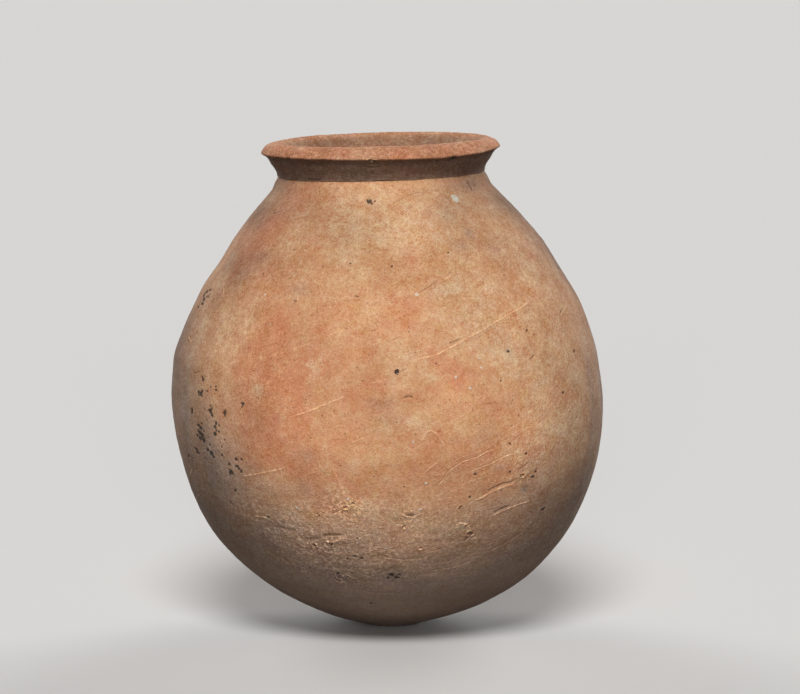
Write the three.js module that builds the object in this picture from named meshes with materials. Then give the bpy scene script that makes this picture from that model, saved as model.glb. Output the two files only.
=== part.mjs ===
// Globular water jar of plain fired clay. Millimetres, +Z up, origin on the ground under the belly.
//
// The potter made the jar in sections and luted them together: a base bowl, three rings of wall,
// and a collar with the mouth, whose foot laps over the short upright neck. A bead of clay closes
// the neck joint on the inside. Each section is a ring turned about the axis, and all of them then
// take the same slight lean and the same tilt of the mouth that the handmade jar has.
import * as THREE from 'three';

// Overall size: the height is at the middle of the mouth
const jarHeight = 319;
const bellyRadius = 141.6;
const bellyHeight = 151.3;

// Round bottom, with the small flat that the jar stands on
const restingRadius = 15;
const bottomBluntness = 1.745;
const bottomFullness = 2.25;

// Heights of the sections, one above the other; the shoulder ring takes up the rest
const baseBowlHeight = 62;
const lowerWallHeight = 76;
const bellyWallHeight = 80;

// Wall
const sideWall = 9;
const baseWall = 14;
const scarfLength = 6;
const jointClearance = 0.3;

// Neck, the upright stand at the top of the shoulder
const throatRadius = 58;
const neckWall = 8.4;
const neckHeight = 7.1;
const neckFlare = 4.1;
const neckFillet = 4;

// Lap joint between neck and collar
const ledgeWidth = 1.9;
const tongueHeight = 6;
const grooveDepth = 3;
const grooveHeight = 3.4;
const beadProud = 1.2;

// Collar
const footOverhang = 1.3;
const collarHeight = 15.4;
const ridgeOverhang = 10.3;
const lipCrown = 6.6;
const lipRounding = 5.8;
const mouthFlare = 9.6;
const funnelDepth = 11.2;

// What the hand gave it
const lean = THREE.MathUtils.degToRad(1.06);
const neckSway = 1.3;
const swayHeight = 36;
const mouthTilt = THREE.MathUtils.degToRad(1.7);
const tiltHeight = 75;

// Mesh steps
const aroundSteps = 60;
const curveSteps = 7;
const filletSteps = 4;

// Places worked out from the sizes above
const baseJoint = baseBowlHeight;
const bellyJoint = baseJoint + lowerWallHeight;
const shoulderJoint = bellyJoint + bellyWallHeight;
const ridgeHeight = jarHeight - lipCrown;
const collarFoot = ridgeHeight - collarHeight;
const neckTop = collarFoot - jointClearance;
const neckCornerHeight = neckTop - neckHeight;
const neckRadius = throatRadius + neckWall;
const neckCornerRadius = neckRadius + neckFlare;
const tongueRadius = neckRadius - ledgeWidth;
const tongueTop = neckTop + tongueHeight;
const collarSeat = tongueTop + jointClearance;
const footRadius = neckRadius + footOverhang;
const ridgeRadius = footRadius + ridgeOverhang;
const lipRadius = throatRadius + mouthFlare;

// Below the belly the outline is a superellipse that the ground cuts at the resting radius.
// Above it the outline is a cosine arch that passes through the neck corner.
const groundCut = (1 - (restingRadius / bellyRadius) ** bottomBluntness) ** (1 / bottomFullness);
const lowerDepth = bellyHeight / groundCut;
const cornerAngle = Math.acos(neckCornerRadius / bellyRadius);
const archPace = (neckCornerHeight - bellyHeight) / cornerAngle;

// Outline point at an angle: negative below the belly, 0 at the belly, positive above it.
function outlinePoint(angle) {
  if (angle >= 0) {
    return new THREE.Vector2(bellyRadius * Math.cos(angle), bellyHeight + archPace * angle);
  }
  const drop = lowerDepth * Math.sin(-angle) ** (2 / bottomFullness);
  const radius = bellyRadius * Math.cos(angle) ** (2 / bottomBluntness);
  return new THREE.Vector2(radius, bellyHeight - drop);
}

// Angle at which the outline reaches a height.
function outlineAngle(height) {
  if (height >= bellyHeight) return (height - bellyHeight) / archPace;
  return -Math.asin(((bellyHeight - height) / lowerDepth) ** (bottomFullness / 2));
}

// How fast the outline runs at an angle, as a vector per radian.
function outlinePace(angle) {
  const step = 1e-4;
  const ahead = outlinePoint(angle + step);
  return ahead.sub(outlinePoint(angle - step)).divideScalar(2 * step);
}

// The wall is thickest in the base and thins to the side wall at the top of the base bowl.
function wallAt(height) {
  const thinned = THREE.MathUtils.smoothstep(height, 0, baseBowlHeight);
  return THREE.MathUtils.lerp(baseWall, sideWall, thinned);
}

// Point on the inner face, one wall in from the outline and square to it.
function innerPoint(angle) {
  const outer = outlinePoint(angle);
  const pace = outlinePace(angle).normalize();
  return outer.add(new THREE.Vector2(-pace.y, pace.x).multiplyScalar(wallAt(outer.y)));
}

// A scarf joint: its inner end lies further up the wall, so that the upper section laps over the
// lower one. The section above starts one clearance further on.
function scarf(height, clearance) {
  const start = outlineAngle(height);
  const perMillimetre = 1 / outlinePace(start).length();
  const slant = Math.hypot(scarfLength, sideWall) / sideWall;
  const outer = start + clearance * slant * perMillimetre;
  return { outer, inner: outer + scarfLength * perMillimetre };
}

function along(point, from, to, steps) {
  return Array.from({ length: steps + 1 }, (_, i) => point(from + ((to - from) * i) / steps));
}

// One ring of wall between two scarf joints: up the outside and down the inside.
function wallSection(lower, upper) {
  const outside = along(outlinePoint, lower.outer, upper.outer, curveSteps);
  const inside = along(innerPoint, upper.inner, lower.inner, curveSteps);
  return [...outside, ...inside];
}

function arc(start, corner, end, steps) {
  return new THREE.QuadraticBezierCurve(start, corner, end).getPoints(steps);
}

// The bowl starts and ends on the axis. Its underside is flat out to the resting radius.
function baseBowlSection() {
  const joint = scarf(baseJoint, 0);
  const edge = outlineAngle(0);
  const outside = along(outlinePoint, edge, joint.outer, curveSteps);
  const inside = along(innerPoint, joint.inner, edge, curveSteps);
  return [new THREE.Vector2(0, 0), ...outside, ...inside, new THREE.Vector2(0, baseWall)];
}

// The shoulder ring closes in to the neck, and the neck ends in a ledge and a tongue.
function shoulderSection() {
  const joint = scarf(shoulderJoint, jointClearance);
  const turn = outlineAngle(neckCornerHeight - neckFillet);
  const outerTurn = outlinePoint(turn);
  const innerTurn = innerPoint(turn);
  const pace = outlinePace(turn);
  const throatTurn = innerTurn.y + ((throatRadius - innerTurn.x) * pace.y) / pace.x;
  const corner = new THREE.Vector2(neckCornerRadius, neckCornerHeight);
  const throatCorner = new THREE.Vector2(throatRadius, throatTurn);
  return [
    ...along(outlinePoint, joint.outer, turn, curveSteps).slice(0, -1),
    ...arc(outerTurn, corner, new THREE.Vector2(neckRadius, neckTop), filletSteps),
    new THREE.Vector2(tongueRadius, neckTop),
    new THREE.Vector2(tongueRadius, tongueTop),
    new THREE.Vector2(throatRadius + grooveDepth, tongueTop),
    ...arc(
      new THREE.Vector2(throatRadius, tongueTop - grooveHeight),
      throatCorner,
      innerTurn,
      filletSteps,
    ),
    ...along(innerPoint, turn, joint.inner, curveSteps).slice(1),
  ];
}

// The collar sits over the tongue, its foot hangs past the neck and its lip turns out.
function collarSection() {
  const point = (radius, height) => new THREE.Vector2(radius, height);
  const underside = new THREE.CubicBezierCurve(
    point(footRadius, collarFoot),
    point(footRadius + footOverhang / 2, collarFoot + collarHeight / 3),
    point(footRadius + footOverhang, ridgeHeight - lipRounding / 2),
    point(ridgeRadius, ridgeHeight),
  );
  const crown = arc(
    point(ridgeRadius, ridgeHeight),
    point(ridgeRadius - footOverhang, ridgeHeight + lipRounding),
    point(lipRadius, jarHeight),
    filletSteps,
  );
  const funnel = arc(
    point(lipRadius, jarHeight),
    point(throatRadius + footOverhang, jarHeight - lipRounding),
    point(throatRadius, jarHeight - funnelDepth),
    filletSteps,
  );
  return [
    ...underside.getPoints(curveSteps),
    ...crown.slice(1),
    ...funnel.slice(1),
    point(throatRadius, collarSeat + grooveHeight),
    point(throatRadius + grooveDepth, collarSeat),
    point(tongueRadius + jointClearance, collarSeat),
    point(tongueRadius + jointClearance, collarFoot),
  ];
}

// The bead fills the groove over the neck joint and stands a little proud of the throat.
function beadSection() {
  const middle = (tongueTop + collarSeat) / 2;
  const inset = (jointClearance * Math.hypot(grooveDepth, grooveHeight)) / grooveHeight;
  const depth = grooveDepth - inset;
  const half = (depth * grooveHeight) / grooveDepth;
  return [
    new THREE.Vector2(throatRadius + depth, middle),
    new THREE.Vector2(throatRadius, middle + half),
    new THREE.Vector2(throatRadius - beadProud, middle + half / 2),
    new THREE.Vector2(throatRadius - beadProud, middle - half / 2),
    new THREE.Vector2(throatRadius, middle - half),
  ];
}

// The lean moves each level sideways, the neck stands a little further out of line, and the mouth
// tilts. All three fade in with height, so the resting face stays level.
function handmade(geometry) {
  const points = geometry.attributes.position;
  for (let i = 0; i < points.count; i += 1) {
    const x = points.getX(i);
    const z = points.getZ(i);
    const sway = neckSway * THREE.MathUtils.smoothstep(z, neckTop - swayHeight, neckTop);
    const tilt = mouthTilt * THREE.MathUtils.smoothstep(z, neckTop - tiltHeight, neckTop);
    points.setX(i, x - Math.tan(lean) * (z - bellyHeight) - sway);
    points.setZ(i, z + Math.tan(tilt) * x);
  }
  geometry.computeVertexNormals();
  return geometry;
}

// A ring of clay with the given section, closed on itself unless it starts on the axis.
function clayRing(name, section, colour) {
  const onAxis = section[0].x === 0;
  const profile = onAxis ? section : [...section, section[0].clone()];
  const geometry = new THREE.LatheGeometry(profile, aroundSteps).rotateX(Math.PI / 2);
  const material = new THREE.MeshStandardMaterial({ color: colour, roughness: 0.93, metalness: 0 });
  const ring = new THREE.Mesh(handmade(geometry), material);
  ring.name = name;
  return ring;
}

const buffClay = 0xc79a73;
const blushClay = 0xc48d65;
const lipClay = 0xbd8862;
const lutingClay = 0xb08c6c;

const jar = new THREE.Group();
jar.add(
  clayRing('base_bowl', baseBowlSection(), buffClay),
  clayRing('lower_wall', wallSection(scarf(baseJoint, jointClearance), scarf(bellyJoint, 0)), blushClay),
  clayRing('belly_wall', wallSection(scarf(bellyJoint, jointClearance), scarf(shoulderJoint, 0)), buffClay),
  clayRing('shoulder_wall', shoulderSection(), blushClay),
  clayRing('rim_collar', collarSection(), lipClay),
  clayRing('neck_luting_bead', beadSection(), lutingClay),
);

export default jar;
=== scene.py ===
import itertools
import math

import bpy
import numpy as np
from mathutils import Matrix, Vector


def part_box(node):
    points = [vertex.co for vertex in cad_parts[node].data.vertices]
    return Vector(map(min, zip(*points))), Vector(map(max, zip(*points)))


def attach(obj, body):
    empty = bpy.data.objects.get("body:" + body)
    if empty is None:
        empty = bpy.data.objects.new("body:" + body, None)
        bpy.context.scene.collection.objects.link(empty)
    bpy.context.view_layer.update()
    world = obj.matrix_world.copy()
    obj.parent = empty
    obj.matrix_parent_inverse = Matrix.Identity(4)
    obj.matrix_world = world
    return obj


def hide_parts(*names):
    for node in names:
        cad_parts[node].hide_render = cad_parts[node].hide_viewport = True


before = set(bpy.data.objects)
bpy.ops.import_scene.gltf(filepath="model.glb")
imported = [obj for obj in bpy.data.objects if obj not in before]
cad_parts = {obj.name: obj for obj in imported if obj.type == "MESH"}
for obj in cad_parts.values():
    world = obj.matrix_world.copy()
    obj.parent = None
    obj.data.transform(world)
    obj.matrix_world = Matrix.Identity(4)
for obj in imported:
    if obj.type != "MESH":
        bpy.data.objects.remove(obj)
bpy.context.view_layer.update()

# View
# The photograph looks slightly down on the front of the jar through a long lens. Marks that show
# in it are given by their pixel there, and this view says where on the clay each one lies.
MM = 0.001
photo_size = np.array([800.0, 694.0])
view_from = np.array([8.3, -2500.0, 491.2])
view_at = np.array([8.3, 0.0, 182.8])
view_scale = 0.65
sensor_width = 36.0

lens_pixels = -view_from[1] / view_scale
view_ahead = (view_at - view_from) / np.linalg.norm(view_at - view_from)
view_right = np.array([1.0, 0.0, 0.0])
view_up = np.cross(view_right, view_ahead)


def placed(name, data):
    """A new object in the scene that holds a mesh, a lamp or a camera."""
    thing = bpy.data.objects.new(name, data)
    bpy.context.scene.collection.objects.link(thing)
    return thing


camera_data = bpy.data.cameras.new("photograph_view")
camera_data.sensor_width = sensor_width
camera_data.lens = lens_pixels * sensor_width / photo_size[0]
camera_data.clip_start = 0.1
camera_data.clip_end = 200.0
camera = placed("photograph_view", camera_data)
camera.location = Vector(view_from * MM)
camera.rotation_euler = Vector(view_ahead).to_track_quat("-Z", "Y").to_euler()
bpy.context.scene.camera = camera

# Body wall: base bowl, lower ring, belly ring and shoulder ring
# The potter shaped a round bowl and luted three rings of coarse buff clay on top of it. The
# joints were smoothed over by hand on both sides, so the four pieces share one skin, with one
# set of marks, and meet inside the wall in slanting scarf joints.
belly_low, belly_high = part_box("belly_wall")
belly_radius = (belly_high.y - belly_low.y) / 2 / MM
belly_height = 151.3
resting_radius = 15.0
bottom_bluntness = 1.745
bottom_fullness = 2.25
joint_heights = [62.0, 138.0, 218.0]
side_wall = 9.0
base_wall = 14.0
scarf_length = 6.0
throat_radius = 58.0
neck_radius = 66.4
neck_corner = (70.5, 289.6)
neck_top = 296.7
neck_fillet = 4.0
tongue_radius = 64.5
tongue_top = 302.7
groove_depth = 3.0
groove_height = 3.4
lean = math.radians(1.06)
neck_sway = 1.3
sway_height = 36.0
mouth_tilt = math.radians(1.7)
tilt_height = 75.0

ground_cut = (1 - (resting_radius / belly_radius) ** bottom_bluntness) ** (1 / bottom_fullness)
lower_depth = belly_height / ground_cut
arch_pace = (neck_corner[1] - belly_height) / math.acos(neck_corner[0] / belly_radius)


def outline(angle):
    """Radius and height of the outer face: a cosine arch from the belly (angle 0) up, and a
    superellipse below it (negative angles)."""
    angle = np.asarray(angle, float)
    below = np.clip(-angle, 0, math.pi / 2)
    arch = np.stack([belly_radius * np.cos(angle), belly_height + arch_pace * angle], -1)
    bowl_radius = belly_radius * np.cos(below) ** (2 / bottom_bluntness)
    bowl_height = belly_height - lower_depth * np.sin(below) ** (2 / bottom_fullness)
    return np.where(angle[..., None] > 0, arch, np.stack([bowl_radius, bowl_height], -1))


def outline_angle(height):
    """Angle at which the outline reaches a height, the inverse of outline()."""
    if height >= belly_height:
        return (height - belly_height) / arch_pace
    return -math.asin(((belly_height - height) / lower_depth) ** (bottom_fullness / 2))


def ease(share):
    """0 below 0, 1 above 1, and the smooth curve 3t^2 - 2t^3 in between."""
    share = np.clip(share, 0, 1)
    return share * share * (3 - 2 * share)


def sideways(curve):
    """Unit directions square to a curve of (radius, height) points, on its right-hand side."""
    pace = np.gradient(curve, axis=0)
    pace /= np.linalg.norm(pace, axis=-1, keepdims=True)
    return np.stack([pace[:, 1], -pace[:, 0]], -1)


def inner_face(angles):
    """The outline moved in by the wall, which thins from the base up to the top of the bowl."""
    step = 1e-4
    outer = outline(angles)
    pace = outline(angles + step) - outline(angles - step)
    pace /= np.linalg.norm(pace, axis=-1, keepdims=True)
    wall = base_wall + (side_wall - base_wall) * ease(outer[:, 1] / joint_heights[0])
    return outer + np.stack([-pace[:, 1], pace[:, 0]], -1) * wall[:, None]


def bezier(*corners):
    """The curve that starts at the first corner, ends at the last and heads for those between:
    each corner counts by its Bernstein share of the way along."""
    samples = 80
    share = np.linspace(0, 1, samples)[:, None]
    order = len(corners) - 1
    weights = [math.comb(order, i) * share**i * (1 - share) ** (order - i) for i in range(order + 1)]
    return sum(weight * np.asarray(corner, float) for weight, corner in zip(weights, corners))


def evenly(curve, pitch):
    """Points at equal steps of about one pitch along a curve, both of its ends included."""
    length = np.concatenate([[0], np.cumsum(np.linalg.norm(np.diff(curve, axis=0), axis=-1))])
    steps = np.linspace(0, length[-1], max(1, round(length[-1] / pitch)) + 1)
    return np.stack([np.interp(steps, length, curve[:, axis]) for axis in (0, 1)], -1)


def in_runs(curves, pitches):
    """Joins curves end to end as one profile, and says on which row each run starts or ends."""
    runs = [evenly(curve, pitch) for curve, pitch in zip(curves, pitches)]
    starts = np.concatenate([[0], np.cumsum([len(run) - 1 for run in runs])])
    return np.concatenate([run[:-1] for run in runs] + [runs[-1][-1:]]), starts


def angles_between(start, end):
    samples = 400
    return np.linspace(start, end, samples)


# The outer face goes up from the resting spot, and the inner face comes down from the throat.
pole_gap = 0.4
ground_angle = outline_angle(0)
fillet_angle = outline_angle(neck_corner[1] - neck_fillet)
joint_angles = [outline_angle(height) for height in joint_heights]
shoulder_curve = outline(angles_between(joint_angles[2], fillet_angle))
neck_curve = bezier(shoulder_curve[-1], neck_corner, (neck_radius, neck_top))
outer_profile, outer_rows = in_runs(
    [
        np.array([(pole_gap, 0), (resting_radius, 0)]),
        outline(angles_between(ground_angle, joint_angles[0])),
        outline(angles_between(joint_angles[0], joint_angles[1])),
        outline(angles_between(joint_angles[1], joint_angles[2])),
        np.concatenate([shoulder_curve, neck_curve[1:]]),
    ],
    [2.0, 1.4, 0.86, 0.86, 1.06],
)


def scarf_end(angle):
    """Angle at which a scarf joint comes out on the inner face, further up the wall."""
    step = 1e-4
    pace = np.linalg.norm(outline(angle + step) - outline(angle - step)) / (2 * step)
    return angle + scarf_length / pace


scarf_ends = [scarf_end(angle) for angle in joint_angles]
inner_shoulder = inner_face(angles_between(fillet_angle, scarf_ends[2]))
inner_slope = (inner_shoulder[0] - inner_shoulder[1]) / (inner_shoulder[0, 0] - inner_shoulder[1, 0])
throat_corner = inner_shoulder[0] + inner_slope * (throat_radius - inner_shoulder[0, 0])
throat_curve = bezier((throat_radius, tongue_top - groove_height), throat_corner, inner_shoulder[0])
inner_bowl = inner_face(angles_between(scarf_ends[0], ground_angle))
inner_profile, inner_rows = in_runs(
    [
        np.concatenate([throat_curve, inner_shoulder[1:]]),
        inner_face(angles_between(scarf_ends[2], scarf_ends[1])),
        inner_face(angles_between(scarf_ends[1], scarf_ends[0])),
        inner_bowl,
        np.array([inner_bowl[-1], (pole_gap, base_wall)]),
    ],
    [5.0, 5.0, 5.0, 5.0, 5.0],
)

# Columns of the grid stand closer together on the front.
strips = 3
columns = strips * 273
front_angle = -math.pi / 2
front_crowding = 0.4
even_turn = np.linspace(0, 2 * math.pi, columns, endpoint=False)
column_angles = front_angle + math.pi + even_turn + front_crowding * np.sin(even_turn)


def turned(profile):
    """A profile of (radius, height) rows turned about the axis: points and outward directions,
    each as rows by columns by xyz."""
    across = np.stack([np.cos(column_angles), np.sin(column_angles)], -1)
    out = sideways(profile)
    points = np.empty((len(profile), columns, 3))
    outward = np.empty_like(points)
    points[..., :2] = profile[:, None, :1] * across
    points[..., 2] = profile[:, 1:]
    outward[..., :2] = out[:, None, :1] * across
    outward[..., 2] = out[:, 1:]
    return points, outward


def hand_moves(z):
    """Sideways shift and slope at true heights: the body leans, and near the top the neck sways out
    and the mouth tilts."""
    sway = neck_sway * ease((z - neck_top + sway_height) / sway_height)
    tilt = mouth_tilt * ease((z - neck_top + tilt_height) / tilt_height)
    return math.tan(lean) * (z - belly_height) + sway, np.tan(tilt)


def by_hand(points):
    """Bends true points as the potter's hand did: x less the shift, and z plus the slope times x."""
    x, y, z = np.moveaxis(points, -1, 0)
    shift, slope = hand_moves(z)
    return np.stack([x - shift, y, z + slope * x], -1)


def unbent(points):
    """Undoes by_hand(), working out the side place and the height in turn."""
    x, y, z = np.moveaxis(points, -1, 0)
    true_z = z
    for _ in range(4):
        shift, slope = hand_moves(true_z)
        true_x = x + shift
        true_z = z - slope * true_x
    return np.stack([true_x, y, true_z], -1)


def on_the_clay(pixels, profile):
    """True points of a turned profile at pixels of the photograph: each sight line is followed
    until it first comes nearer to the axis than the profile at its height."""
    nearest, furthest, steps = 2300, 2640, 1400
    offset = (np.reshape(pixels, (-1, 2)) - photo_size / 2) / lens_pixels
    sight = view_ahead + offset[:, :1] * view_right - offset[:, 1:] * view_up
    reach = np.linspace(nearest, furthest, steps)
    walked = unbent(view_from + sight[:, None] * reach[:, None])
    edge = np.interp(walked[..., 2], profile[:, 1], profile[:, 0])
    room = np.hypot(walked[..., 0], walked[..., 1]) - edge
    first = np.where((room < 0).any(axis=1), (room < 0).argmax(axis=1), room.argmin(axis=1))
    return walked[np.arange(len(walked)), first]


def hashed(cells, seed):
    """A number between -1 and 1 for each whole-numbered cell, mixed from the bits of its place."""
    factors = np.array([73856093, 19349663, 83492791], np.int64)
    mixed = np.bitwise_xor.reduce(cells * factors, axis=-1) + seed * 40503
    mixed = (mixed ^ (mixed >> 13)) * 1274126177
    mixed = mixed ^ (mixed >> 16)
    return (mixed & 0xFFFF) / 32767.5 - 1


def clay_noise(points, grain, seed):
    """Smooth noise between -1 and 1 with lumps of about one grain, which is a length or one for
    each axis: the numbers at the eight lattice corners round a point, blended smoothly."""
    place = points / grain
    cell = np.floor(place)
    share = ease(place - cell)
    cell = cell.astype(np.int64)
    total = np.zeros(points.shape[:-1])
    for corner in itertools.product((0, 1), repeat=3):
        near = np.where(corner, share, 1 - share).prod(axis=-1)
        total += near * hashed(cell + corner, seed)
    return total


def lumps(points, layers):
    """The sum of layers of noise, each with its depth, its grain and its seed."""
    return sum(depth * clay_noise(points, np.array(grain), seed) for depth, grain, seed in layers)


def turn_from(side, angle):
    """Turn from a side angle in degrees to other side angles, between -pi and pi."""
    return (side - math.radians(angle) + math.pi) % (2 * math.pi) - math.pi


def apart(points, middle, wide, high):
    """How far points lie from a middle, in shares of a half width and a half height."""
    gap = points - middle
    return np.hypot(np.hypot(gap[..., 0], gap[..., 1]) / wide, gap[..., 2] / high)


# Places where the body is out of round, by side angle, height, reach round and up, and lift.
swells = [
    (180, 240, 42, 17, -1.9),
    (180, 211, 42, 13, -1.0),
    (180, 179, 40, 9, 0.9),
    (180, 110, 46, 20, -1.2),
    (180, 60, 46, 16, 0.9),
    (180, 14, 50, 7, -0.5),
    (0, 240, 40, 42, 0.9),
    (0, 250, 40, 10, 0.55),
    (0, 213, 40, 11, 0.65),
    (0, 168, 44, 18, -0.8),
    (0, 112, 48, 22, -0.1),
    (0, 66, 50, 15, 0.9),
    (0, 36, 50, 22, 1.7),
    (0, 5, 50, 5, -1.6),
    (70, 190, 40, 40, -1.0),
    (120, 120, 45, 35, -0.9),
]

# Dents of fingertips and knuckles, by pixel, radius and depth.
dents = [
    ((413, 409), 8, 0.7),
    ((447, 300), 12, 0.5),
    ((330, 306), 14, 0.5),
    ((292, 470), 15, 0.6),
    ((505, 415), 16, 0.5),
    ((378, 547), 17, 0.7),
    ((455, 560), 14, 0.6),
    ((300, 250), 12, 0.4),
    ((560, 380), 14, 0.6),
]

# Scratches of grit and straw dragged through the damp clay. Each has its path as x and y of pixels in turn,
# its half width, and the strength of its dark groove, which is painted shade, and of the pale edge below
# it, which is partly a painted highlight.
scratches = [
    ([402, 362, 436, 354, 455, 344, 478, 331.7, 499, 319, 520, 307, 536, 296], 0.5, 0.12, 1.1),
    ([448.5, 343.5, 455, 341, 461.5, 338], 0.4, 1, 0.2),
    ([416.5, 294, 424, 289.8, 430, 286, 438, 280.5], 0.45, 0.8, 0.5),
    ([437, 281.5, 445, 277, 454, 271.5], 0.7, 0, 0.6), ([559.5, 313.5, 562.3, 309.2], 0.45, 1, 0),
    ([530, 360, 535.2, 354.6], 0.45, 1, 0), ([392.6, 340, 398.4, 337.2], 0.4, 0.6, 0.1),
    ([401, 371.8, 406.5, 368.8], 0.5, 0.9, 0.4),
    ([403.8, 398.3, 407, 396.6, 410.2, 396.2, 413.7, 397.8], 0.75, 1.1, 0.1),
    ([371, 382.4, 380, 380, 389.5, 377.4], 0.5, 0.1, 0.5),
    ([421, 443, 424.9, 432.8, 430.6, 429.6, 437, 432.8, 443.4, 441.7, 447.8, 448.7], 0.4, 0.1, 0.9),
    ([421.3, 476, 425, 471, 431, 466.5, 437, 461.5], 0.4, 0.2, 0.8),
    ([432.5, 489, 441, 482, 449, 470.5, 463, 461, 478, 456.3, 487, 451, 500.5, 446.5], 0.45, 0.4, 0.7),
    ([436, 486.5, 444, 478.5, 452.5, 472], 0.4, 0.5, 0.3),
    ([433, 474.8, 441, 474, 449.5, 472.6], 0.4, 0.1, 0.6),
    ([465, 472.8, 475, 469, 489, 464, 500, 458.4, 508, 454.5, 519.5, 452], 0.45, 0.4, 0.75),
    ([449, 462.5, 461, 457, 474, 452.6, 484, 449], 0.4, 0.2, 0.4),
    ([455, 487.4, 468, 481.6, 482, 477, 494, 471.4], 0.4, 0.2, 0.35),
    ([441, 497, 452, 490.6, 465, 486], 0.4, 0.2, 0.35),
    ([472, 500.6, 481, 497.4, 487.5, 493.6, 495, 489.8, 504, 486, 516, 482.4], 0.65, 0.15, 1),
    ([487, 491.6, 495, 487.6, 503, 484.2, 516.5, 480.8], 0.6, 1, 0.1),
    ([489.5, 517, 497, 513.2, 511, 507, 522, 503, 533, 499.6], 0.55, 0.2, 0.9),
    ([493, 513.6, 502, 509, 511.5, 505.6], 0.55, 1, 0.1),
    ([434, 500.6, 443, 498.2, 456, 496], 0.45, 0.1, 0.6),
    ([464.5, 542.4, 469, 538, 474, 533.6], 0.6, 1, 0.3),
    ([470.5, 539.6, 474.5, 538.2, 478.5, 536.6], 0.7, 0, 1),
    ([401.5, 529.6, 403.5, 526.8, 407.5, 525.4], 0.5, 0.9, 0.4),
    ([413, 558, 428, 552.6, 445, 548.4], 0.45, 0.5, 0.2),
    ([419, 548, 422.5, 549.6, 424, 552.4], 0.5, 0.2, 0.8), ([519.3, 470.4, 529.5, 462.7], 0.45, 0.9, 0),
    ([513.5, 467.2, 518, 458, 522.4, 450.6], 0.5, 0.1, 0.4),
    ([404.6, 515, 410, 516.2, 417, 517.6], 0.7, 0.6, 0.6),
    ([403.4, 511.4, 411, 510.4, 421.7, 512.4], 0.6, 0.1, 0.8),
    ([404.6, 521.2, 409, 520.6, 413, 521.4], 0.7, 0, 0.7),
    ([456.6, 523, 463, 522.6, 468.4, 524, 472.6, 529.4], 0.6, 0.2, 0.9),
    ([239, 475.7, 253, 473.8, 271, 470.4, 287.6, 466.1], 0.5, 0.2, 0.9),
    ([306.7, 473.8, 319.5, 470], 0.4, 0.1, 0.5),
    ([332, 461.7, 338.6, 477, 342.4, 486, 347.6, 500], 1, 0, 0.35),
    ([328, 516, 338, 511.5, 349, 505.5, 357, 503], 0.6, 0.3, 0.7),
    ([326, 511, 336, 508, 346, 503], 0.5, 0.3, 0.5), ([305, 539.5, 313, 539, 320.5, 539.6], 1.3, 0.7, 0),
    ([321, 537, 328, 535.4, 336, 535.8, 343.5, 534.6], 1.2, 0.8, 0),
    ([306, 541, 308.5, 544, 311.5, 546.4, 316.4, 549], 0.6, 0.2, 1),
    ([323.5, 539.6, 329, 541, 333.5, 541, 339, 538.6, 345.5, 536.8], 0.7, 0.1, 1),
    ([271, 526.8, 281, 528, 288, 530.4, 298, 531], 1.3, 0.6, 0),
    ([254, 514.4, 262, 515.2, 270, 514.2], 0.5, 0.2, 0.6),
    ([300, 543.6, 304, 546, 309, 546.4], 0.6, 0.2, 0.7),
    ([299.5, 571, 303, 571.6, 306.6, 570.6], 0.5, 0.1, 0.9),
    ([333.6, 579.6, 339, 582.6, 344, 580.4], 0.6, 0.1, 1),
    ([345, 579.8, 350, 580, 352.4, 577], 0.5, 0.1, 0.8), ([352.4, 569.2, 355.6, 570], 0.6, 0, 0.9),
    ([322, 559, 340, 566, 356, 572], 0.5, 0.35, 0.3), ([355, 571, 368, 576, 382, 578], 0.6, 0.5, 0.2),
    ([253.5, 515.2, 261, 516.2, 268.5, 517.8], 0.7, 0.3, 0.6),
    ([288.8, 416.4, 299.5, 413.1, 315, 407.6, 333, 400, 348, 393.8], 0.5, 0.2, 1),
    ([259.3, 385.5, 268.2, 382, 270.9, 375.7], 0.5, 0, 0.5),
    ([254.8, 358.8, 270, 355.6, 299.5, 348.9], 0.4, 0, 0.35),
    ([193.7, 373.5, 196.8, 372.2, 199.9, 370.4], 0.45, 1, 0),
    ([392.7, 203, 401.6, 197.9, 410, 194.6, 418.6, 192.4, 429.3, 192.1], 0.35, 0.5, 0),
    ([252.5, 223.6, 258.5, 219.8, 265, 216.4], 0.5, 0.8, 0),
    ([271.5, 213.1, 277, 211.6, 283.3, 208.9], 0.45, 1, 0),
    ([222.6, 281, 222.7, 289, 222.6, 298], 0.5, 0, 1),
    ([293, 348.4, 303.8, 344.3, 314.6, 340.7], 0.45, 0, 0.5),
    ([326.8, 334.6, 335.2, 331.5, 343.7, 328.5], 0.5, 0, 0.5), ([306.5, 325, 322, 321.5], 0.4, 0, 0.35),
    ([574, 299.4, 580, 311, 587, 326], 0.7, 0, 0.7), ([519.2, 223, 527, 230, 534, 238], 0.6, 0, 0.4),
    ([354.3, 295.2, 359.3, 296.2], 0.5, 1, 0), ([465.5, 182, 469, 184.6, 473.5, 191], 0.6, 1.6, 0.2),
    ([472, 182.6, 475.6, 187], 0.7, 1.5, 0.3), ([188.3, 334.6, 190.2, 338, 192, 341.4], 0.9, 0, 0.9),
    ([470, 291, 484, 285, 497, 281], 0.4, 0, 0.3), ([560, 420, 571, 407, 578, 398], 0.5, 0.1, 0.35),
    ([196, 452, 206, 449, 219, 447], 0.5, 0.1, 0.3), ([346, 444, 362, 438, 374, 435.5], 0.35, 0.05, 0.35),
    ([300, 504, 322, 498, 341, 491], 0.4, 0.15, 0.3), ([375, 556, 402, 560, 428, 558], 0.7, 0.35, 0.3),
    ([340, 586, 371, 592, 404, 593], 0.8, 0.4, 0.2), ([424, 571, 452, 568, 474, 560], 0.6, 0.35, 0.3),
    ([484, 553, 508, 542, 527, 529], 0.6, 0.3, 0.35), ([262, 548, 287, 561, 309, 569], 0.7, 0.35, 0.25),
]

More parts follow.
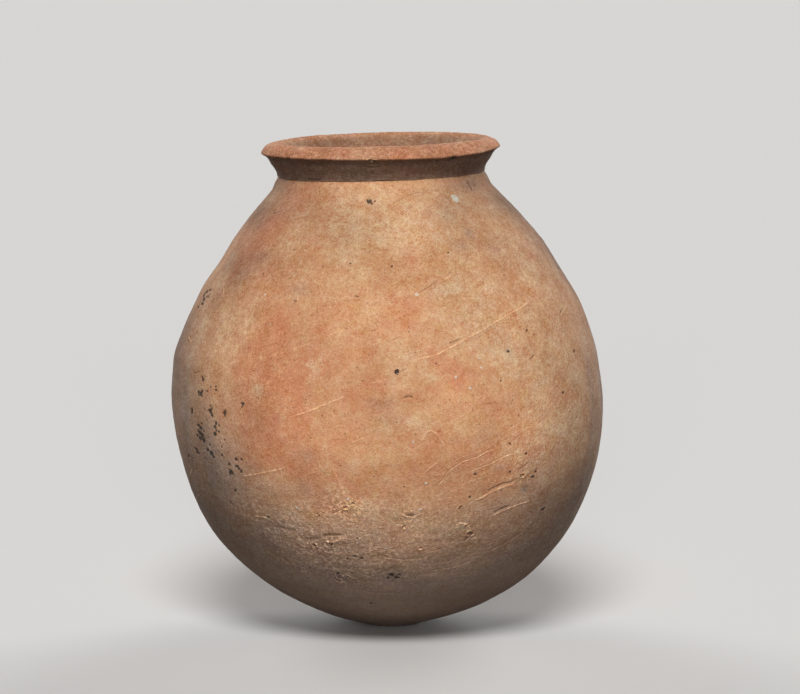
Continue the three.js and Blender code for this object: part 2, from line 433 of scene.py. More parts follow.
# Black spots of soot and burnt-out straw, by pixel, half width and half height as seen.
soot_spots = [
    (369.3, 201.5, 1.4, 2), (371.6, 203.4, 0.9, 1.1), (374.8, 200.6, 0.7, 0.7), (367.4, 199.8, 0.8, 0.8),
    (208.4, 288.8, 1.5, 0.7), (205, 290.6, 1.5, 1), (201.8, 293.8, 1.4, 1.3), (205.8, 295.8, 1.4, 0.9),
    (202, 298.4, 1.6, 1.3), (200.6, 303, 1.3, 0.9), (196.2, 306.2, 1, 0.8), (204.8, 300.6, 0.5, 0.6),
    (208.4, 293, 0.5, 0.5), (198, 300.8, 0.5, 0.6), (396.2, 371.7, 1.2, 1.4), (398, 373, 0.7, 0.7),
    (202.3, 379.5, 1, 1.4), (201.6, 376.6, 0.6, 0.7), (199.6, 393.6, 1.5, 1.5), (197.6, 391.8, 0.7, 0.7),
    (201.6, 391, 0.7, 0.9), (201, 396.2, 0.7, 0.7), (206.8, 391, 0.5, 0.6), (210.2, 387, 0.5, 0.6),
    (215.4, 386.6, 0.6, 0.6), (215.6, 390, 0.8, 0.7), (242.5, 403.8, 0.9, 0.9), (241.8, 407, 0.5, 0.6),
    (191.2, 410.6, 0.9, 1.6), (209.4, 411.2, 1.3, 1.5), (211.2, 415.4, 1, 1.5), (210, 405.6, 0.6, 0.7),
    (211.4, 408, 0.7, 0.8), (204, 410.4, 0.6, 0.7), (223.8, 412.5, 1.2, 1.3), (225.4, 410.4, 0.6, 0.6),
    (224.6, 415.6, 0.6, 0.7), (215.4, 423.2, 1, 1.1), (214.6, 427, 0.8, 1.1), (218.8, 425.4, 0.6, 0.6),
    (214.6, 434, 1.2, 1.3), (218.2, 432, 0.7, 0.8), (216, 430.4, 0.5, 0.6), (197.4, 425.4, 1.1, 0.9),
    (200.8, 424, 0.8, 0.7), (199.8, 428, 1.2, 0.9), (198, 432.4, 1.2, 1.6), (200.6, 435.2, 1.3, 1.6),
    (199.6, 438.6, 1.2, 1.2), (202.6, 440.2, 1.1, 1.6), (196.4, 436, 0.7, 0.9), (203, 431, 0.6, 0.7),
    (206.8, 450.4, 0.9, 1.2), (210.6, 453.8, 1.1, 1.3), (212, 457.4, 0.8, 0.9), (208.8, 445.2, 0.6, 0.8),
    (195.4, 451, 1, 1.6), (197.4, 453.4, 0.7, 1), (193.4, 448.6, 0.7, 0.8), (187, 456.6, 0.8, 0.9),
    (220.8, 455.6, 0.7, 0.8), (235.5, 460, 1.1, 1), (240.8, 459.8, 0.7, 0.7), (228, 464.6, 0.8, 0.9),
    (236.2, 466.8, 1, 0.8), (238, 469.4, 0.8, 0.9), (240.4, 471.4, 0.8, 1), (229.6, 472.6, 1.5, 1.8),
    (227.4, 469.6, 0.6, 0.6), (231.8, 475, 0.7, 0.7), (234.4, 490.8, 0.8, 1.1), (229.8, 503, 0.8, 0.7),
    (224, 440, 0.5, 0.5), (206, 420, 0.5, 0.6), (221, 447, 0.5, 0.6), (204, 459, 0.5, 0.7),
    (318.9, 516.1, 0.6, 0.6), (314.4, 546.2, 0.8, 0.6), (331, 545.4, 0.7, 0.6), (354.6, 556.7, 1.1, 0.6),
    (361.6, 558.8, 1, 0.7), (347.6, 559.4, 0.7, 0.6), (267.8, 518, 1, 0.6), (309.8, 567.6, 0.8, 0.7),
    (391.4, 575.2, 1.8, 1.6), (396.4, 577.8, 1.6, 1.3), (388, 578.4, 0.9, 0.9), (399.6, 574.6, 0.9, 0.8),
    (370.8, 603.4, 1, 0.7), (472.7, 534, 0.8, 0.7), (460, 508.6, 0.7, 0.7), (542.9, 509.9, 1, 0.8),
    (545, 508.6, 0.7, 0.6), (510.3, 444.2, 0.9, 0.8), (526.9, 453.8, 0.9, 0.8), (510.3, 472.3, 0.8, 0.7),
    (533.3, 477.4, 1, 0.9), (470.2, 497.2, 0.9, 0.7), (475.3, 474.2, 0.9, 0.6), (536.5, 471.7, 0.8, 0.9),
    (527.3, 330.4, 0.7, 0.7), (564.5, 392.6, 0.7, 0.8), (350, 263, 0.7, 0.6), (293.4, 248.6, 0.6, 0.6),
    (322, 266, 0.7, 0.7), (501.9, 380.6, 0.6, 0.6), (436.3, 363.6, 0.6, 0.6), (257, 398, 0.6, 0.6),
    (448, 252, 0.6, 0.6), (392, 266, 0.5, 0.5), (577.5, 418, 0.6, 0.8), (575, 351, 0.7, 0.8),
    (509, 351.3, 0.8, 0.8), (338, 574, 1.2, 0.8),
]

# Spots of lime and pale grit, by pixel, half width and half height.
lime_spots = [
    (455, 198, 2.8, 3.1), (417, 294.4, 1.4, 1.1), (426, 483.6, 1.2, 1.1), (456.2, 376.8, 0.9, 0.9),
    (264.5, 294.5, 0.8, 0.8), (269.7, 323.6, 0.8, 0.8), (232.7, 268.5, 0.7, 0.6), (413.4, 442.3, 0.9, 0.8),
    (347.6, 499.4, 0.9, 0.8), (357, 543.4, 0.9, 0.6), (385.5, 549.5, 0.8, 0.6), (448.6, 317, 0.6, 0.6),
    (460.8, 247.6, 0.6, 0.6), (269, 471, 0.7, 0.6), (480.2, 358, 1.1, 0.8), (481.4, 367.5, 0.8, 0.9),
    (296.5, 508.6, 1.3, 1), (470.5, 388, 1.2, 0.8), (531, 522.6, 0.9, 0.8), (421, 509.8, 1, 0.6),
]

# Patches where the clay fired orange, by pixel, half width, half height and strength.
blush_patches = [
    (298, 206, 22, 14, 0.35), (252, 228, 20, 24, 0.6), (238, 262, 18, 20, 0.55), (246, 412, 22, 18, 0.4),
    (262, 310, 22, 100, 0.35), (270, 375, 24, 36, 0.45), (260, 414, 20, 30, 0.85), (300, 385, 15, 26, 0.5),
    (302, 462, 18, 22, 0.5), (292, 202, 17, 9, 0.8), (277, 222, 15, 17, 0.4), (268, 262, 20, 18, 0.3),
    (302, 320, 24, 30, 0.35), (352, 390, 24, 34, 0.6), (403, 306, 12, 14, 0.35), (410, 262, 8, 8, 0.45),
    (452, 380, 13, 16, 0.6), (416, 316, 9, 9, 0.25), (352, 470, 30, 24, 0.3), (350, 498, 26, 12, 0.5),
    (432, 440, 10, 10, 0.5), (418, 470, 15, 18, 0.35), (466, 466, 34, 18, 0.5), (500, 470, 26, 26, 0.32),
    (340, 184, 36, 5, 0.25), (474, 208, 12, 9, 0.3), (460, 500, 22, 14, 0.3), (258, 470, 18, 14, 0.35),
    (514.5, 314.4, 1.7, 1.5, 1.6), (412, 398, 8, 4, 0.8), (336, 514, 12, 5, 0.4), (480, 430, 14, 14, 0.1),
    (431, 353, 8, 9, 0.45), (530.5, 258, 2.5, 2.5, 0.9), (478, 307, 4, 4, 0.5), (505, 408, 16, 20, 0.3),
    (285, 186, 22, 6, 0.3), (262, 240, 16, 22, 0.55),
]

# Patches that stayed cream, or hold a pale bloom of salts.
pale_patches = [
    (396, 226, 48, 17, 0.85), (350, 199, 14, 8, 0.4), (450, 236, 14, 10, 0.3), (362, 205, 36, 9, 0.35),
    (408, 350, 20, 18, 0.45), (478, 326, 26, 30, 0.5), (505, 350, 18, 20, 0.45), (410, 425, 18, 8, 0.4),
    (345, 524, 50, 10, 0.5), (420, 528, 36, 12, 0.35), (340, 300, 12, 16, 0.3), (300, 250, 24, 26, 0.2),
    (500, 260, 20, 20, 0.25), (540, 300, 20, 34, 0.3), (450, 289, 8, 5, 0.8), (316, 364, 7, 9, 0.8),
    (258.5, 391.5, 5, 4, 1.1), (533, 271, 9, 7, 0.6), (200, 330, 12, 34, 0.5), (228, 330, 12, 24, 0.35),
    (575, 380, 7, 40, 0.5), (565, 300, 7, 28, 0.4), (465, 313, 4, 7, 0.6), (483, 303, 4, 5, 0.6),
    (478, 327, 6, 4, 0.5), (430, 377, 7, 5, 0.5), (520, 478, 7, 5, 0.5), (573, 452, 8, 22, 0.5),
    (330, 480, 8, 20, 0.3), (293, 512, 9, 6, 0.7), (262, 470, 5, 3, 0.5), (413, 521, 12, 4, 0.6),
    (467, 527, 10, 4, 0.6), (318, 547, 12, 5, 0.6), (416, 421, 6, 6, 0.35), (505, 214, 20, 26, 0.3),
    (585, 340, 5, 30, 0.5), (372, 548, 18, 6, 0.35), (350, 504, 12, 9, 0.4), (255, 205, 6, 10, 0.45),
    (470, 270, 26, 14, 0.25), (562, 420, 44, 60, 0.45), (533, 440, 20, 20, 0.25),
]

# Patches of grey and brown: smoke, damp and the worn lower body, and painted shade under the collar and at
# the far left and right.
grey_patches = [
    (261, 257, 7, 8, 0.25), (258, 225, 6, 8, 0.2), (240, 275, 8, 12, 0.2), (447, 213, 11, 12, 0.32),
    (468.6, 233, 4, 4, 0.5), (471, 186, 11, 6, 0.35), (490, 200, 8, 12, 0.2), (525, 489.5, 4, 3, 0.6),
    (500, 468, 6, 3, 0.35), (205, 440, 12, 22, 0.3), (186, 420, 8, 50, 0.3), (594, 410, 7, 50, 0.35),
    (226, 262, 6, 18, 0.25), (509, 351, 3, 3, 0.4), (494, 245, 14, 14, 0.2), (306, 455, 8, 5, 0.3),
    (346, 530, 22, 8, 0.15), (282, 528, 24, 7, 0.25), (392, 577, 9, 5, 0.5), (300, 490, 14, 8, 0.25),
    (462, 245, 6, 5, 0.3), (300, 290, 6, 4, 0.35), (284, 190, 13, 9, 0.2), (232, 446, 14, 18, 0.18),
    (256, 476, 14, 12, 0.15), (462, 184, 20, 5, 0.3), (530, 240, 8, 18, 0.15), (212, 462, 18, 30, 0.4),
    (236, 490, 24, 20, 0.35), (546, 478, 18, 30, 0.3), (530, 470, 12, 12, 0.25), (500, 506, 18, 8, 0.25),
    (215, 300, 8, 10, 0.2), (380, 404, 9, 4, 0.25), (388, 421, 8, 4, 0.25),
]

# Patches of darker clay, partly its own duller, browner tone and partly painted shade under the collar and
# down the flanks, and with a minus sign brighter clay, partly painted light on the lower front.
tone_and_painted_shade_patches = [
    (298, 208, 26, 14, 0.2), (258, 211, 26, 13, 0.42), (236, 264, 22, 22, 0.3), (505, 200, 26, 14, 0.54),
    (462, 202, 22, 14, 0.22), (345, 225, 26, 24, 0.1), (556, 241, 30, 32, 0.46), (204, 500, 48, 36, 0.42),
    (258, 532, 26, 16, 0.3), (564, 505, 44, 26, 0.34), (502, 535, 30, 22, 0.28), (380, 378, 40, 36, 0.1),
    (535, 446, 26, 34, -0.32), (177, 350, 30, 38, 0.4), (300, 444, 20, 16, -0.12),
    (456, 408, 18, 16, -0.14), (350, 500, 16, 10, -0.1), (212, 352, 20, 14, -0.06),
    (262, 470, 14, 12, -0.1), (258, 414, 14, 18, 0.12), (420, 230, 22, 18, -0.06), (450, 290, 14, 14, 0.08),
    (190, 385, 26, 36, 0.12), (590, 450, 30, 34, 0.06), (575, 290, 24, 26, 0.2), (350, 198, 22, 10, -0.08),
    (450, 240, 14, 12, 0.1), (400, 262, 20, 12, 0.08), (278, 262, 26, 14, 0.12), (300, 350, 18, 44, 0.09),
    (510, 320, 14, 14, -0.1), (375, 320, 30, 14, -0.08), (222, 440, 16, 16, -0.14),
    (214, 395, 14, 30, -0.12), (350, 238, 26, 26, 0.08), (350, 440, 18, 14, -0.12),
    (350, 530, 18, 10, -0.12), (452, 530, 18, 10, 0.12), (450, 472, 14, 10, 0.1), (500, 440, 14, 12, 0.08),
    (530, 290, 16, 14, -0.1), (368, 592, 28, 10, -0.2), (388, 609, 34, 10, -0.3), (300, 410, 20, 18, -0.12),
]

# Patches where the scraped clay stayed rough, by pixel, half width, half height and strength.
rough_patches = [
    (300, 535, 42, 22, 0.8), (345, 568, 46, 20, 0.8), (385, 545, 40, 22, 0.4), (345, 508, 24, 8, 0.7),
    (468, 530, 16, 12, 0.9), (411, 516, 13, 8, 1), (430, 560, 40, 18, 0.35), (260, 520, 26, 16, 0.4),
    (500, 470, 40, 18, 0.25), (560, 390, 30, 50, 0.25), (523, 478, 8, 8, 1), (345, 507, 13, 7, 1),
    (342, 578, 11, 7, 0.9), (318, 545, 20, 7, 0.8), (272, 374, 10, 14, 0.4), (480, 318, 16, 12, 0.5),
]

# Pits where grit fell out, each in a raised ring of clay, by pixel, half width and half height.
pits = [
    (313.5, 545.4, 1.7, 1.2), (331, 544.4, 1.9, 1.2), (340, 578, 2.2, 1.4), (348, 577.6, 1.5, 1.1),
    (302, 569, 1.5, 0.8), (411, 516, 4, 0.8), (404, 527.6, 1.4, 1.2), (470.5, 534.4, 2.4, 1.7),
    (461, 507, 1.1, 1), (420.6, 548.6, 1.5, 1.1), (357, 539.6, 1.4, 0.7), (523, 476, 2.2, 1.4),
    (346, 508, 2, 1.2), (353, 504, 1.5, 1), (467, 526.4, 1.6, 0.9), (397, 371.6, 1.4, 1.4),
    (262, 273.6, 1.6, 1.2), (294, 300.6, 2, 1), (189.6, 337, 1.4, 1.6),
]


def round_the_back(count, seed):
    """Random places on the sides and back of the body: side angles and heights."""
    chance = np.random.default_rng(seed)
    return np.radians(chance.uniform(-8, 188, count)), chance.uniform(24, 280, count), chance


def at_side(angle, height):
    """True points of the outline at side angles and heights."""
    radius = np.interp(height, outer_profile[:, 1], outer_profile[:, 0])
    return np.stack([radius * np.cos(angle), radius * np.sin(angle), height], -1)


def unseen_scratches(count, seed):
    """Scratches like the seen ones on the sides and back, most of them short, which rise to the
    right at 5 to 35 degrees and bow a little."""
    shortest, longer = 4, 60
    made = []
    angles, heights, chance = round_the_back(count, seed)
    for angle, height in zip(angles, heights):
        rise = math.radians(chance.uniform(5, 35))
        way = np.linspace(0, shortest + longer * chance.uniform(0, 1) ** 3, 5)
        bow = way * (way[-1] - way) / way[-1] * chance.uniform(-0.2, 0.2)
        path = at_side(angle + way * math.cos(rise) / belly_radius, height + way * math.sin(rise) + bow)
        dark = chance.uniform(0, 1)
        strength = chance.uniform(0.3, 1)
        made.append((path, chance.uniform(0.35, 0.7), dark * strength, (1 - 0.7 * dark) * strength))
    return made


def unseen_patches(count, seed, widths, strengths):
    """Patches like the seen ones on the sides and back: middle, half width, half height, strength."""
    angles, heights, chance = round_the_back(count, seed)
    wide = chance.uniform(*widths, count)
    high = wide * chance.uniform(0.5, 1.2, count)
    return list(zip(at_side(angles, heights), wide, high, chance.uniform(*strengths, count)))


def seen_patches(patches, profile=outer_profile[outer_rows[1]:]):
    """Patches or spots given by pixel, as middle, half width, half height and the rest."""
    rows = np.array(patches, float)
    middles = on_the_clay(rows[:, :2], profile)
    return [(middle, *row[2:]) for middle, row in zip(middles, rows)]


def as_seen(patches):
    """Patches stretched sideways by as much as the view from the front foreshortens them, but
    never to more than twice their width."""
    stretched = []
    for middle, wide, *rest in patches:
        seen_share = -middle[1] / np.hypot(middle[0], middle[1])
        stretched.append((middle, wide / max(seen_share, 0.5), *rest))
    return stretched


def patched(points, patches):
    """The sum of soft round patches, each of which fades as exp(-distance^2)."""
    total = np.zeros(points.shape[:-1])
    for middle, wide, high, strength in patches:
        total += strength * np.exp(-(apart(points, middle, wide, high) ** 2))
    return total


def spotted(points, spots):
    """The highest of many cones, each 1 in its middle, 0.5 on its rim and 0 two rims out."""
    level = np.zeros(points.shape[:-1])
    for middle, wide, high, *_ in spots:
        level = np.maximum(level, 1 - apart(points, middle, 2 * wide, 2 * high))
    return level


def scratched(points, outward, paths):
    """Distance from the nearest scratch in half widths, positive on its upper side, with the
    strength of its groove and of its pale edge, both of which fade towards its ends."""
    shape = points.shape[:-1]
    flat = points.reshape(-1, 3)
    out = outward.reshape(-1, 3)
    furthest = 6.0
    across = np.full(len(flat), furthest)
    groove = np.zeros(len(flat))
    edge = np.zeros(len(flat))
    for path, half_width, dark, pale in paths:
        lengths = np.linalg.norm(np.diff(path, axis=0), axis=-1)
        before = np.concatenate([[0], np.cumsum(lengths)])
        for start, end, length, walked in zip(path[:-1], path[1:], lengths, before):
            reach = length / 2 + furthest * half_width
            near = np.flatnonzero(np.abs(flat - (start + end) / 2).max(axis=-1) < reach)
            ahead = (end - start) / length
            along = np.clip((flat[near] - start) @ ahead, 0, length)
            gap = flat[near] - start - along[:, None] * ahead
            above = (np.cross(out[near], ahead) * gap).sum(axis=-1)
            distance = np.where(above < 0, -1, 1) * np.linalg.norm(gap, axis=-1) / half_width
            closer = np.abs(distance) < np.abs(across[near])
            chosen = near[closer]
            share = (walked + along[closer]) / before[-1]
            strength = ease(6 * share) * ease(6 * (1 - share))
            across[chosen] = distance[closer]
            groove[chosen] = dark * strength
            edge[chosen] = pale * strength
    return across.reshape(shape), groove.reshape(shape), edge.reshape(shape)


def hump(distance):
    """1 at distance 0, falling smoothly to 0 at distance 1 on both sides."""
    return np.clip(1 - distance * distance, 0, 1) ** 2


outer_points, outer_outward = turned(outer_profile)
outer_bare = outer_profile[outer_rows[1]:]
outer_height = outer_points[..., 2]
paths = [(on_the_clay(path, outer_bare), *rest) for path, *rest in scratches]
paths += unseen_scratches(70, 11)
across, groove, edge = scratched(outer_points, outer_outward, paths)


def all_round(kind, seen, count, seed, widths, strengths=(1, 1)):
    """A level on the outer face from marks seen in front and from a count of unseen ones like them."""
    return kind(outer_points, seen + unseen_patches(count, seed, widths, strengths))


soot = all_round(spotted, as_seen(seen_patches(soot_spots)), 60, 21, (0.5, 1.8))
lime = all_round(spotted, seen_patches(lime_spots), 30, 31, (0.5, 1.3))
pit = all_round(spotted, seen_patches(pits), 30, 81, (0.9, 2.4))
blush = all_round(patched, seen_patches(blush_patches), 34, 41, (10, 40), (0.3, 0.8))
pale = all_round(patched, seen_patches(pale_patches), 34, 51, (5, 26), (0.3, 0.8))
grey = all_round(patched, seen_patches(grey_patches), 22, 61, (5, 24), (0.08, 0.3))
rough = all_round(patched, seen_patches(rough_patches), 9, 71, (20, 50), (0.3, 0.9))
dark = all_round(patched, seen_patches(tone_and_painted_shade_patches), 24, 91, (10, 34), (-0.1, 0.22))


def below(height, fade):
    """0 on the outer face above a height, rising to 1 at one fade further down."""
    return ease((height - outer_height) / fade)


def above(height, fade):
    """0 on the outer face below a height, rising to 1 at one fade further up."""
    return ease((outer_height - height) / fade)


# Wear greys and roughens the lower body below ragged lines, and takes the blush off it.
worn_grey = 128 + 11 * clay_noise(outer_points, 24, 5)
worn_rough = 118 + 14 * clay_noise(outer_points, 30, 9)
grey += 0.86 * below(worn_grey, 94)
blush *= 1 - 0.9 * below(116, 55)
rough = (rough + 0.35 * below(worn_rough, 52)) * (1 - 0.6 * below(50, 30))

# Painted shade greys and darkens both sides, least at the top, a little less on the right, and hardly the
# back.
most_side_shade = 0.75
facing_front = np.clip(-outer_outward[..., 1], 0, 1)
painted_side_shade = (1 - facing_front) ** 2 * (1 + 0.3 * clay_noise(outer_points, 48, 13))
painted_side_shade *= 1 - 0.2 * np.clip(outer_outward[..., 0], 0, 1)
painted_side_shade *= 1 - 0.8 * ease(1.2 * outer_outward[..., 1])
grey += np.minimum((0.55 + 1.1 * below(235, 100)) * painted_side_shade, most_side_shade)
grey = np.clip(grey, 0, 1)

# Painted shade darkens the upper body, the clay is darker at the very bottom, and painted light brightens
# the lower front in between.
painted_front_light = facing_front**2 * below(118, 40) * above(44, 40)
dark += 0.08 * above(180, 70) + 0.14 * below(48, 20) - 0.34 * painted_front_light
dark = np.clip(dark, -0.45, 0.6)
mark_names = ["blush", "grey", "pale", "dark", "rough", "soot", "lime", "pit", "across", "groove", "edge"]
outer_marks = np.stack([blush, grey, pale, dark, rough, soot, lime, pit, across, groove, edge], -1)

# The relief of the outer face, square to it: out of round, dents, lumps, wiping and marks.
side = np.arctan2(outer_points[..., 1], outer_points[..., 0])
relief = lumps(
    outer_points,
    [
        (0.34, 38, 1),
        (0.2, 15, 2),
        (0.08, 5.5, 3),
        (0.05 + 0.05 * rough, (30, 30, 3.2), 4),
        (0.13 * rough, (13, 13, 7.5), 6),
        (0.07 * rough, (5, 5, 4), 10),
        (0.08 * rough, 2.1, 12),
    ],
)
for angle, height, around, up, lift in swells:
    fall = (turn_from(side, angle) / math.radians(around)) ** 2 + ((outer_height - height) / up) ** 2
    relief += lift * np.exp(-fall)
dent_middles = on_the_clay([dent[0] for dent in dents], outer_bare)
for middle, (_, radius, depth) in zip(dent_middles, dents):
    relief -= depth * np.exp(-(apart(outer_points, middle, radius, radius) ** 2))
relief += 0.22 * edge * hump((across + 1.5) / 1.6) - 0.36 * groove * hump(across / 1.6)
relief += 0.15 * np.clip(2 * lime - 0.8, 0, 1) - 0.5 * np.clip(2 * soot - 0.7, 0, 1)
relief += 0.35 * hump((pit - 0.42) / 0.3) - 0.7 * np.clip(3 * pit - 1.6, 0, 1)

# It stays inside the true belly, leaves the resting face flat, and swells under the collar.
headroom = 0.45
neck_swell = 1.1
relief = np.minimum(relief - headroom, belly_radius - np.hypot(outer_points[..., 0], outer_points[..., 1]))
relief *= above(0, 3)
relief += neck_swell * above(neck_corner[1] - 2, 6)
outer_skin = by_hand(outer_points + outer_outward * relief[..., None])

# The inner face keeps the ridges of the fingers that drew the wall up.
finger_pitch = 13.0
finger_depth = 0.45
inner_points, inner_outward = turned(inner_profile)
finger_turns = inner_points[..., 2] / finger_pitch + lumps(inner_points, [(0.4, 45, 7)])
inner_relief = finger_depth * np.sin(2 * math.pi * finger_turns) + lumps(inner_points, [(0.4, 20, 8)])
inner_relief[:1] = 0
inner_skin = by_hand(inner_points + inner_outward * inner_relief[..., None])


def plain_marks(points):
    """Marks of clay out of sight: somewhat grey and rough, and far from any scratch."""
    levels = {"grey": 0.35, "rough": 0.4, "across": 6.0}
    return np.tile([levels.get(mark_name, 0.0) for mark_name in mark_names], points.shape[:2] + (1,))


inner_marks = plain_marks(inner_points)


def facing(points):
    """Unit normals of a grid of points: the step round the jar crossed with the step along."""
    around = np.roll(points, -1, axis=1) - np.roll(points, 1, axis=1)
    normal = np.cross(around, np.gradient(points, axis=0))
    return normal / np.linalg.norm(normal, axis=-1, keepdims=True)


def part_of(skin, marks, first, last):
    """The rows of a face from first to last, with the normals that they have in the whole face."""
    rows = slice(first, last + 1)
    return skin[rows], facing(skin)[rows], marks[rows]


def bridge(before, after, corners=(), steps=2):
    """Flat faces from the last row of one patch to the first row of the next, by way of the
    corners (radius, height) that lie between."""
    rows = [before[0][-1]]
    for corner in corners:
        turned_corner, _ = turned(np.array([corner, corner + np.array([0.0, 1.0])]))
        rows.append(by_hand(turned_corner[0]))
    rows.append(after[0][0])
    faces = []
    share = np.linspace(0, 1, steps + 1)[:, None, None]
    way = np.linspace(0, 1, len(rows))[:, None, None]
    marks = before[2][-1] * (1 - way) + after[2][0] * way
    for number, (start, end) in enumerate(zip(rows[:-1], rows[1:])):
        points = start + (end - start) * share
        tint = marks[number] + (marks[number + 1] - marks[number]) * share
        faces.append((points, facing(points), tint))
    return faces


def clay_piece(name, patches, closed=True):
    """A mesh of patches that follow one another round the section of a ring, each starting on
    the last row of the one before. A section that isn't closed ends on the axis at both ends."""
    rows = [patch[0][:-1] for patch in patches]
    marks = [patch[2][:-1] for patch in patches]
    if not closed:
        rows.append(patches[-1][0][-1:])
        marks.append(patches[-1][2][-1:])
    rows = np.concatenate(rows)
    marks = np.concatenate(marks).reshape(-1, len(mark_names))
    count = len(rows)
    faces_down = count if closed else count - 1
    row = np.arange(faces_down)[:, None]
    below = (row + 1) % count
    column = np.arange(columns)
    beside = (column + 1) % columns
    around_face = [(row, column), (row, beside), (below, beside), (below, column)]
    quads = np.stack([level * columns + turn for level, turn in around_face], -1)
    shades = []
    for _, normals, _ in patches:
        turned_on = np.roll(normals, -1, axis=1)
        shades.append(np.stack([normals[:-1], turned_on[:-1], turned_on[1:], normals[1:]], 2))
    shades = np.concatenate(shades).reshape(-1, 3)

    # Each third of the turn has its own strip of the map, as high as the section is long.
    margin = 0.004
    ends = np.concatenate([rows, rows[:1]])[:, ::40]
    weights = np.linalg.norm(np.diff(ends, axis=0), axis=-1).mean(axis=1)[:faces_down]
    climb = np.concatenate([[0], np.cumsum(weights)]) / weights.sum()
    per_strip = columns // strips
    strip = column // per_strip
    left = margin + (1 - 2 * margin) * (column % per_strip) / per_strip
    right = margin + (1 - 2 * margin) * (column % per_strip + 1) / per_strip
    low = (strip + margin + (1 - 2 * margin) * climb[:-1, None]) / strips
    high = (strip + margin + (1 - 2 * margin) * climb[1:, None]) / strips
    left, right, low, high = np.broadcast_arrays(left, right, low, high)
    corners = [(left, low), (right, low), (right, high), (left, high)]
    places = np.stack([np.stack(corner, -1) for corner in corners], 2).reshape(-1, 2)

    points = rows.reshape(-1, 3)
    faces = quads.reshape(-1, 4).tolist()
    if not closed:
        poles = np.stack([rows[0].mean(axis=0), rows[-1].mean(axis=0)])
        start, end = len(points), len(points) + 1
        last = (count - 1) * columns
        first_fan = np.stack([np.full(columns, start), beside, column], -1)
        last_fan = np.stack([np.full(columns, end), last + column, last + beside], -1)
        faces += first_fan.tolist() + last_fan.tolist()
        points = np.concatenate([points, poles])
        marks = np.concatenate([marks, marks[:1], marks[-1:]])
        downward = np.tile([0.0, 0.0, -1.0], (3 * columns, 1))
        shades = np.concatenate([shades, downward, -downward])
        fan = np.stack([np.full(columns, 0.5), column / columns, (column + 1) / columns], -1)
        bottom = np.stack([fan, np.tile([0.0, margin / strips, margin / strips], (columns, 1))], -1)
        top = np.stack([fan, np.tile([1.0, 1 - margin / strips, 1 - margin / strips], (columns, 1))], -1)
        places = np.concatenate([places, bottom.reshape(-1, 2), top.reshape(-1, 2)])

    mesh = bpy.data.meshes.new(name)
    mesh.from_pydata((points * MM).tolist(), [], faces, shade_flat=False)
    mesh.uv_layers.new(name="OFBake").data.foreach_set("uv", places.astype(np.float32).ravel())
    for number, mark_name in enumerate(mark_names):
        layer = mesh.attributes.new(mark_name, "FLOAT", "POINT")
        layer.data.foreach_set("value", marks[:, number].astype(np.float32))
    mesh.normals_split_custom_set(shades.tolist())
    return placed(name, mesh)


class Wire:
    """A socket of a material. Arithmetic on it adds Math nodes, and node() adds any other node."""

    def __init__(self, tree, socket=None):
        self.tree = tree
        self.socket = socket

    def node(self, kind, settings=None, inputs=None, output=0):
        """Adds a node: first its settings, then a value or a Wire for each of the named inputs."""
        made = self.tree.nodes.new("ShaderNode" + kind)
        for name, value in (settings or {}).items():
            setattr(made, name, value)
        for name, value in (inputs or {}).items():
            if isinstance(value, Wire):
                self.tree.links.new(value.socket, made.inputs[name])
            else:
                made.inputs[name].default_value = value
        return Wire(self.tree, made.outputs[output])

    def show(self, kind="OutputMaterial"):
        """Makes this shader the surface of its material or world."""
        output = self.tree.nodes.new("ShaderNode" + kind)
        self.tree.links.new(self.socket, output.inputs["Surface"])

    def math(self, operation, first, second):
        return self.node("Math", {"operation": operation}, {0: first, 1: second})

    def __add__(self, other):
        return self.math("ADD", self, other)

    __radd__ = __add__

    def __sub__(self, other):
        return self.math("SUBTRACT", self, other)

    def __rsub__(self, other):
        return self.math("SUBTRACT", other, self)

    def __mul__(self, other):
        return self.math("MULTIPLY", self, other)

    __rmul__ = __mul__

    def between(self, low, high):
        """0 where the value is low, 1 where it is high, eased in between."""
        limits = {"Value": self, "From Min": low, "From Max": high}
        return self.node("MapRange", {"interpolation_type": "SMOOTHSTEP"}, limits)

    def hump(self, middle, half):
        """1 where the value is the middle, falling to 0 one half to either side."""
        offset = (self - middle) * (1 / half)
        rest = self.math("MAXIMUM", 1 - offset * offset, 0.0)
        return rest * rest

    def mix(self, share, under, over):
        """The colour under, covered by the colour over as far as the share says."""
        return self.node("Mix", {"data_type": "RGBA"}, {0: share, 6: under, 7: over}, 2)


def bare(owner):
    """Clears the nodes of a new material or world, and gives a Wire to build on."""
    owner.use_nodes = True
    owner.node_tree.nodes.clear()
    return Wire(owner.node_tree)


pale_tone = (0.72, 0.445, 0.25, 1)
soot_tone = (0.04, 0.031, 0.025, 1)
lime_tone = (0.76, 0.68, 0.57, 1)
rust_tone = (0.34, 0.13, 0.065, 1)
dark_tone = (0.13, 0.07, 0.04, 1)


